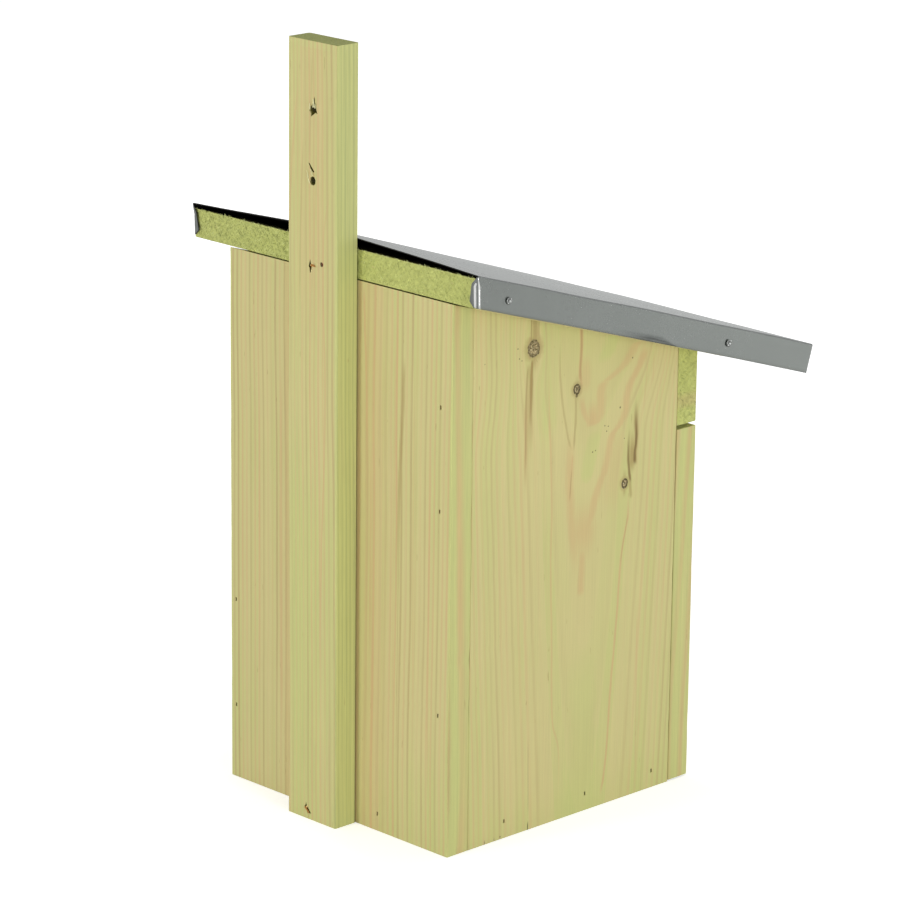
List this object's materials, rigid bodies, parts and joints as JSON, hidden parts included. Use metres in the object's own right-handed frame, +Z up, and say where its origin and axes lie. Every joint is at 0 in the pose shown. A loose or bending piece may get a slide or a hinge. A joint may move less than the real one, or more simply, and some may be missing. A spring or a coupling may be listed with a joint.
{
  "type": "bird house",
  "caption": "Timber nest box with a pent roof capped in folded sheet metal, a side-hung door with a round entrance hole, and a drilled batten to hang it by.",
  "frame": {"origin": "centre of the bottom of the whole object's bounding box, on the surface it stands on", "axes": "+Z up along the batten, +Y to the rear, out of the batten's back, -Y out of the front with the entrance hole, +X to the right seen from the front"},
  "size_m": [0.2916, 0.3662, 0.565],
  "materials": {
    "treated_pine": "sawn pressure-treated pine, pale yellow-green, matt",
    "galvanised_sheet": "dull galvanised sheet with fine rolling marks",
    "bright_steel": "bright drawn steel, slightly dulled",
    "yellow_zinc": "yellow-passivated steel screw",
    "zinc_plate": "zinc-plated pressed steel, satin"
  },
  "bodies": {
    "box": {"back_panel": "treated_pine", "left_side_panel": "treated_pine", "right_side_panel": "treated_pine", "floor_panel": "treated_pine", "front_top_board": "treated_pine", "roof_board_left": "treated_pine", "roof_board_right": "treated_pine", "mounting_batten": "treated_pine", "roof_sheet": "galvanised_sheet", "back_panel_brads": "bright_steel", "floor_brads": "bright_steel", "front_board_brads": "bright_steel", "roof_board_nails": "bright_steel", "roof_sheet_nails": "bright_steel", "hinge_fixed_screws": "bright_steel", "batten_screws": "yellow_zinc", "batten_roof_nail": "yellow_zinc", "upper_hinge_fixed_leaf": "zinc_plate", "upper_hinge_pin": "zinc_plate", "lower_hinge_fixed_leaf": "zinc_plate", "lower_hinge_pin": "zinc_plate", "turn_button_washer": "zinc_plate", "turn_button_screw": "zinc_plate"},
    "door": {"door_panel": "treated_pine", "upper_hinge_door_leaf": "zinc_plate", "lower_hinge_door_leaf": "zinc_plate", "hinge_door_screws": "bright_steel"},
    "turn_button": {"turn_button": "zinc_plate"}
  },
  "joints": [
    {"name": "door_hinge", "type": "hinge", "parent": "box", "child": "door", "pos_m": [0.109, -0.06314, 0.135], "axis": [0, 0, 1], "range_deg": [0, 170]},
    {"name": "turn_button_pivot", "type": "hinge", "parent": "box", "child": "turn_button", "pos_m": [-0.0895, -0.08519, 0.28879], "axis": [0, 1, 0], "range_deg": [0, 90]}
  ]
}
